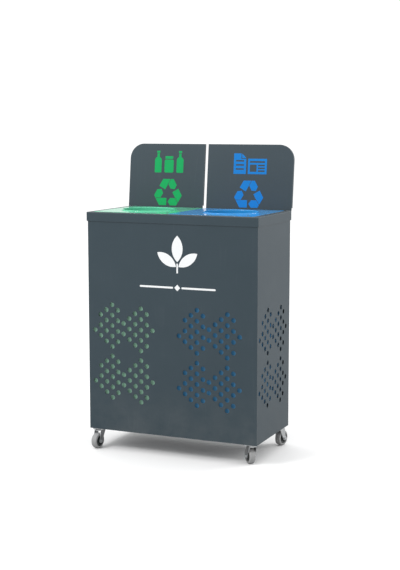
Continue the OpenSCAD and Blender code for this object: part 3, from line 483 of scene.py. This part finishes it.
def closed_mesh(name, points):
    """A closed quad mesh from an (n, m, 3) grid of points that wraps both ways, with its normals outward."""
    rows, columns = points.shape[:2]
    index = np.arange(rows * columns).reshape(rows, columns)
    down, right = np.roll(index, -1, 0), np.roll(index, -1, 1)
    quads = np.stack([index, down, np.roll(down, -1, 1), right], -1).reshape(-1, 4)
    flat = points.reshape(-1, 3)
    a, b, c, d = (flat[quads[:, k]] for k in range(4))
    volume = (np.cross(b - a, c - a) * a).sum() + (np.cross(c - a, d - a) * a).sum()
    if volume < 0:
        quads = quads[:, ::-1]
    mesh = bpy.data.meshes.new(name)
    mesh.vertices.add(len(flat))
    mesh.vertices.foreach_set("co", flat.astype(np.float32).ravel())
    mesh.loops.add(quads.size)
    mesh.loops.foreach_set("vertex_index", quads.astype(np.int32).ravel())
    mesh.polygons.add(len(quads))
    mesh.polygons.foreach_set("loop_start", np.arange(0, quads.size, 4, dtype=np.int32))
    mesh.polygons.foreach_set("use_smooth", np.ones(len(quads), dtype=bool))
    mesh.update(calc_edges=True)
    return mesh


def new_piece(name, points, stands_for, crease):
    """A piece made of a closed grid: it takes the body, slot and material of the CAD node it stands for."""
    mesh = closed_mesh(name, points)
    mesh.materials.append(MATERIALS[SLOTS[stands_for]])
    mesh.set_sharp_from_angle(angle=math.radians(crease))
    piece = bpy.data.objects.new(name, mesh)
    bpy.context.scene.collection.objects.link(piece)
    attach(piece, BODIES[stands_for])
    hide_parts(stands_for)


def along(parts):
    """Joins pieces of a closed outline, given as (x, y) arrays, into one (n, 2) array."""
    return np.concatenate([np.stack(np.broadcast_arrays(x, y), -1).reshape(-1, 2) for x, y in parts])


def arc(cx, cy, radius, start, stop, count):
    """Points of a circle's arc from start to stop, in degrees: (cx + r cos a, cy + r sin a)."""
    angle = np.radians(np.linspace(start, stop, count))
    return cx + radius * np.cos(angle), cy + radius * np.sin(angle)


def ring(count):
    """Angles of count points all the way round, from 0."""
    return np.linspace(0, 2 * math.pi, count, endpoint=False)


def make_collar(name, node, inlay_node):
    """A waste opening's collar: a rolled strip, turned about the vertical through the opening.

    Point(a, k) = centre + (r_k + seam(a)) (cos a, sin a, 0) + (0, 0, z_k), where (r_k, z_k) runs down the
    strip's inner face, round its foot, up the outer face, and under and over a half roll that ends on the inlay.
    seam(a) = -SEAM_DEPTH exp(-((a - SEAM_PLACE) / SEAM_WIDTH)^2) is the butt weld at the back."""
    low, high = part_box(node)
    inlay_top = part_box(inlay_node)[1].z
    centre_x, centre_y = (low.x + high.x) / 2, (low.y + high.y) / 2
    roll = high.z - inlay_top
    bore = (high.x - low.x) / 2 - 2 * roll
    foot = low.z + COLLAR_WALL / 2
    drop = np.linspace(inlay_top, foot, 14)
    profile = along([
        (bore, drop),
        arc(bore + COLLAR_WALL / 2, foot, COLLAR_WALL / 2, 190, 350, 7),
        (bore + COLLAR_WALL, drop[::-1]),
        arc(bore + roll, inlay_top, roll - COLLAR_WALL, 175, 5, 11),
        arc(bore + roll, inlay_top + ROLL_LIFT, roll, 0, 175, 19)])
    turn = ring(COLLAR_ROUND)[:, None]
    seam = -SEAM_DEPTH * np.exp(-((turn - SEAM_PLACE) / SEAM_WIDTH) ** 2)
    radius = profile[None, :, 0] + seam
    x, y = centre_x + radius * np.cos(turn), centre_y + radius * np.sin(turn)
    z = np.broadcast_to(profile[None, :, 1], x.shape)
    new_piece(name, np.stack([x, y, z], -1), node, SHEET_CREASE)


def make_inlay(name, node, collar_node):
    """A coloured sheet with a round hole, very slightly dished as thin sheet is.

    Point(s, t) = (1 - t) hole(s) + t border(s): hole(s) is the circle under the collar's roll, border(s) walks
    round the sheet's edge with small round corners. The top lies at z - dish(u, v), with u and v from 0 to 1
    across the sheet and dish = DISH_DEPTH (1 - cos 2 pi u) (1 - cos 2 pi v) / 4
    + RIPPLE_DEPTH sin(5 pi u) sin(3 pi v). The edges are rounded by INLAY_EDGE."""
    low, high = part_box(node)
    ring_low, ring_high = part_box(collar_node)
    mouth = np.array([(ring_low.x + ring_high.x) / 2, (ring_low.y + ring_high.y) / 2])
    hole = (ring_high.x - ring_low.x) / 2 - ROLL_COVER
    x0, x1, y0, y1 = low.x + INLAY_EDGE, high.x - INLAY_EDGE, low.y + INLAY_EDGE, high.y - INLAY_EDGE
    left, right, front, back = x0 + INLAY_CORNER, x1 - INLAY_CORNER, y0 + INLAY_CORNER, y1 - INLAY_CORNER
    walk_x, walk_y = np.linspace(left, right, SIDE_POINTS), np.linspace(front, back, SIDE_POINTS)
    border = along([
        (walk_x, y0), arc(right, front, INLAY_CORNER, -75, -15, CORNER_POINTS),
        (x1, walk_y), arc(right, back, INLAY_CORNER, 15, 75, CORNER_POINTS),
        (walk_x[::-1], y1), arc(left, back, INLAY_CORNER, 105, 165, CORNER_POINTS),
        (x0, walk_y[::-1]), arc(left, front, INLAY_CORNER, 195, 255, CORNER_POINTS)])
    away = border - mouth
    outward = away / np.linalg.norm(away, axis=1, keepdims=True)
    inner = mouth + hole * outward
    share = np.concatenate([
        np.linspace(0, 1, TOP_POINTS), np.ones(len(EDGE_OUT)), np.linspace(1, 0, BOTTOM_POINTS)])
    push = np.concatenate([np.zeros(TOP_POINTS), EDGE_OUT, np.zeros(BOTTOM_POINTS)]) * INLAY_EDGE
    rise = np.concatenate([np.ones(TOP_POINTS), EDGE_RISE, np.zeros(BOTTOM_POINTS)])
    flat = inner[:, None, :] * (1 - share)[None, :, None] + border[:, None, :] * share[None, :, None]
    flat = flat + outward[:, None, :] * push[None, :, None]
    u, v = (flat[..., 0] - low.x) / (high.x - low.x), (flat[..., 1] - low.y) / (high.y - low.y)
    dish = DISH_DEPTH * (1 - np.cos(2 * math.pi * u)) * (1 - np.cos(2 * math.pi * v)) / 4
    dish = dish + RIPPLE_DEPTH * np.sin(5 * math.pi * u) * np.sin(3 * math.pi * v)
    z = low.z + (high.z - low.z - dish) * rise[None, :]
    new_piece(name, np.concatenate([flat, z[..., None]], -1), node, SHEET_CREASE)


def turned(caster, radius, side):
    """Places a part of a caster's wheel: radius(a, k) from the axle and side(a, k) along it, a going round."""
    joint = JOINTS[caster + "_wheel_roll"]
    axle = np.array(joint["axis"], float)
    axle = axle / np.linalg.norm(axle)
    up = np.array((0.0, 0.0, 1.0))
    turn = ring(radius.shape[0])[:, None, None]
    spoke = np.cos(turn) * np.cross(up, axle) + np.sin(turn) * up
    return np.array(joint["pos_m"], float) + radius[..., None] * spoke + side[..., None] * axle


def make_tyre(caster):
    """A grey rubber tyre: a low crown, round shoulders, a groove in each sidewall and a mould line in the middle.

    Point(a, k) = middle + r_k e(a) + w_k axle. The tread is r = R - CROWN (w / w0)^2, lower by MOULD_LINE away
    from the line at w = 0, the shoulders are arcs, and each sidewall dips by GROOVE_DEPTH in a groove that lies
    GROOVE_PLACE of the way up."""
    low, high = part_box(caster + "_tyre")
    outer = (high.z - low.z) / 2
    inner, edge = outer - TYRE_DEPTH, TYRE_HALF - SHOULDER
    w = np.linspace(-1, 1, 41) * edge
    tread = outer - CROWN * (w / edge) ** 2 + MOULD_LINE * (np.exp(-(w / MOULD_LINE_WIDTH) ** 2) - 1)
    shoulder_w, shoulder_r = arc(edge, outer - CROWN - MOULD_LINE - SHOULDER, SHOULDER, 82, 8, 9)
    rise = np.linspace(0.96, 0.04, 22)
    wall_r = inner + rise * (TYRE_DEPTH - SHOULDER - WALL_DROP)
    wall_w = TYRE_HALF - GROOVE_DEPTH * np.exp(-((rise - GROOVE_PLACE) / GROOVE_WIDTH) ** 2)
    bead_w = np.linspace(TYRE_HALF - BEAD_INSET, BEAD_INSET - TYRE_HALF, 12)
    profile = along([
        (w, tread), (shoulder_w, shoulder_r), (wall_w, wall_r), (bead_w, inner),
        (-wall_w[::-1], wall_r[::-1]), (-shoulder_w[::-1], shoulder_r[::-1])])
    side, radius = (np.broadcast_to(profile[None, :, k], (TYRE_ROUND, len(profile))) for k in range(2))
    new_piece(caster + "_rubber_tyre", turned(caster, radius, side), caster + "_tyre", TYRE_CREASE)


def make_hub(caster):
    """A moulded hub: a boss, a web that swells into six ribs, and a rim.

    Point(a, k) = middle + r_k e(a) + w_k(a) axle. Between boss and rim the web's half width is
    WEB_HALF + RIB_RISE bump(a) plus a fillet at either end, and bump(a) = (cos(3 a)^2)^14 is 1 on each rib."""
    turn = ring(HUB_ROUND)[:, None]
    bump = (np.cos(RIBS / 2 * turn) ** 2) ** RIB_SHARPNESS
    share = np.linspace(0.04, 0.96, 14)
    fillet = FILLET * (np.exp(-share / FILLET_REACH) + np.exp(-(1 - share) / FILLET_REACH))
    web_r = BOSS_RADIUS + share * (RIM_INNER - BOSS_RADIUS)
    web_w = WEB_HALF + fillet[None, :] + RIB_RISE * bump
    half_r = np.concatenate([
        [HUB_BORE, HUB_BORE + FINE_BEVEL, BOSS_RADIUS - BEVEL, BOSS_RADIUS], web_r,
        [RIM_INNER, RIM_INNER + BEVEL, RIM_OUTER - FINE_BEVEL, RIM_OUTER]])
    fixed = np.ones_like(turn)
    half_w = np.concatenate([
        fixed * [BOSS_HALF - FINE_BEVEL, BOSS_HALF, BOSS_HALF, BOSS_HALF - BEVEL], web_w,
        fixed * [RIM_HALF - RIM_BEVEL, RIM_HALF, RIM_HALF, RIM_HALF - FINE_BEVEL]], 1)
    side = np.concatenate([half_w, -half_w[:, ::-1]], 1)
    radius = np.broadcast_to(np.concatenate([half_r, half_r[::-1]])[None, :], side.shape)
    new_piece(caster + "_ribbed_hub", turned(caster, radius, side), caster + "_hub", HUB_CREASE)


make_camera()
make_light()
make_floor()
paint_nodes()
for colour in ("green", "blue"):
    make_collar(colour + "_rolled_collar", colour + "_collar", colour + "_inlay")
    make_inlay(colour + "_dished_sheet", colour + "_inlay", colour + "_collar")
for caster in CASTERS:
    make_tyre(caster)
    make_hub(caster)
